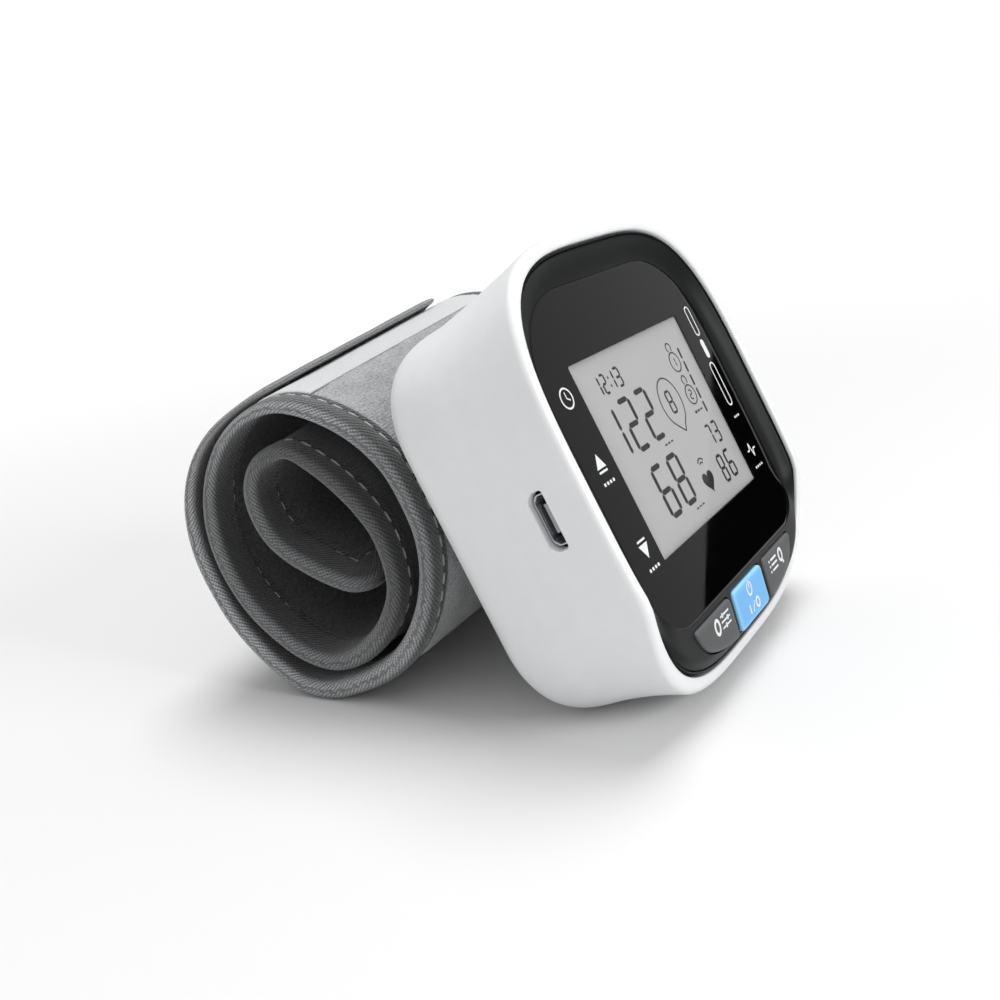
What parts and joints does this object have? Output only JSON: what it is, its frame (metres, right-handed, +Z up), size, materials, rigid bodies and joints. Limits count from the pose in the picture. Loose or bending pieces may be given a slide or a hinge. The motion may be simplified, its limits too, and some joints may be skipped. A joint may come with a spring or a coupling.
{
  "type": "wrist blood pressure monitor",
  "caption": "Rounded wrist blood pressure monitor with a dished display panel, press keys, a side power inlet and a padded cuff rolled up behind it.",
  "frame": {"origin": "on the ground, under the middle of the whole: the lowest edge of the case and the underside of the rolled cuff both touch z = 0", "axes": "+X across the display to the wearer's right, +Y from the display towards the rolled cuff behind it, +Z up. The display leans back by 66.8 degrees from lying flat."},
  "size_m": [0.0746, 0.0996, 0.0736],
  "materials": {
    "shell": "satin white",
    "cover": "fine matt",
    "bezel": "satin",
    "lens": "polished",
    "display": "smooth",
    "frame": "matt",
    "rubber": "matt",
    "key": "satin",
    "blue": "satin",
    "switch": "matt",
    "brass": "plain",
    "board": "lacquered",
    "chip": "matt",
    "steel": "plain",
    "cell": "plain",
    "chassis": "matt",
    "airway": "matt",
    "cloth": "brushed",
    "lining": "brushed loops",
    "binding": "ribbed",
    "bladder": "matt",
    "stay": "plain",
    "patch": "fine loops",
    "hook": "hooks"
  },
  "bodies": {
    "monitor": {"case_shell": "shell", "rear_cover": "cover", "cuff_plate": "chassis", "case_screw_1": "steel", "case_screw_2": "steel", "case_screw_3": "steel", "case_screw_4": "steel", "front_panel": "bezel", "display_lens": "lens", "display_glass": "display", "display_frame": "frame", "contact_strip": "rubber", "set_switch": "switch", "power_switch": "switch", "memory_switch": "switch", "button_pad": "rubber", "circuit_board": "board", "controller_chip": "chip", "pressure_sensor": "frame", "buzzer": "chip", "usb_socket": "steel", "usb_tongue": "chip", "inner_chassis": "chassis", "battery_cell": "cell", "pump_motor": "steel", "pump_head": "airway", "valve_body": "cell", "air_manifold": "airway", "air_nozzle": "airway", "cuff_cover": "cloth", "loop_patch": "patch", "cuff_lining": "lining", "cuff_binding_near": "binding", "cuff_binding_far": "binding", "air_bladder": "bladder", "curl_stay": "stay"},
    "set_key": {"set_button": "key", "set_plunger": "brass"},
    "power_key": {"power_button": "blue", "power_plunger": "brass"},
    "memory_key": {"memory_button": "key", "memory_plunger": "brass"},
    "crank": {"pump_crank": "brass"},
    "release_pin": {"valve_pin": "brass"},
    "tab": {"closing_tab": "cloth", "hook_patch": "hook"}
  },
  "joints": [
    {"name": "set_press", "type": "slide", "parent": "monitor", "child": "set_key", "axis": [0, 0.9771, -0.2128], "range_m": [0, 0.0005], "stiffness_N_per_m": 2000, "springref_m": -0.0004},
    {"name": "power_press", "type": "slide", "parent": "monitor", "child": "power_key", "axis": [0, 0.9771, -0.2128], "range_m": [0, 0.0005], "stiffness_N_per_m": 2000, "springref_m": -0.0004},
    {"name": "memory_press", "type": "slide", "parent": "monitor", "child": "memory_key", "axis": [0, 0.9771, -0.2128], "range_m": [0, 0.0005], "stiffness_N_per_m": 2000, "springref_m": -0.0004},
    {"name": "crank_spin", "type": "hinge", "parent": "monitor", "child": "crank", "pos_m": [0.00053, -0.02652, 0.01311], "axis": [1, 0, 0], "continuous": true},
    {"name": "release_pull", "type": "slide", "parent": "monitor", "child": "release_pin", "axis": [-1, 0, 0], "range_m": [0, 0.001], "stiffness_N_per_m": 300, "springref_m": -0.0005},
    {"name": "tab_peel", "type": "hinge", "parent": "monitor", "child": "tab", "pos_m": [-0.03576, 0.04221, 0.03055], "axis": [-0.9925, -0.1112, -0.051], "range_deg": [0, 110]}
  ]
}
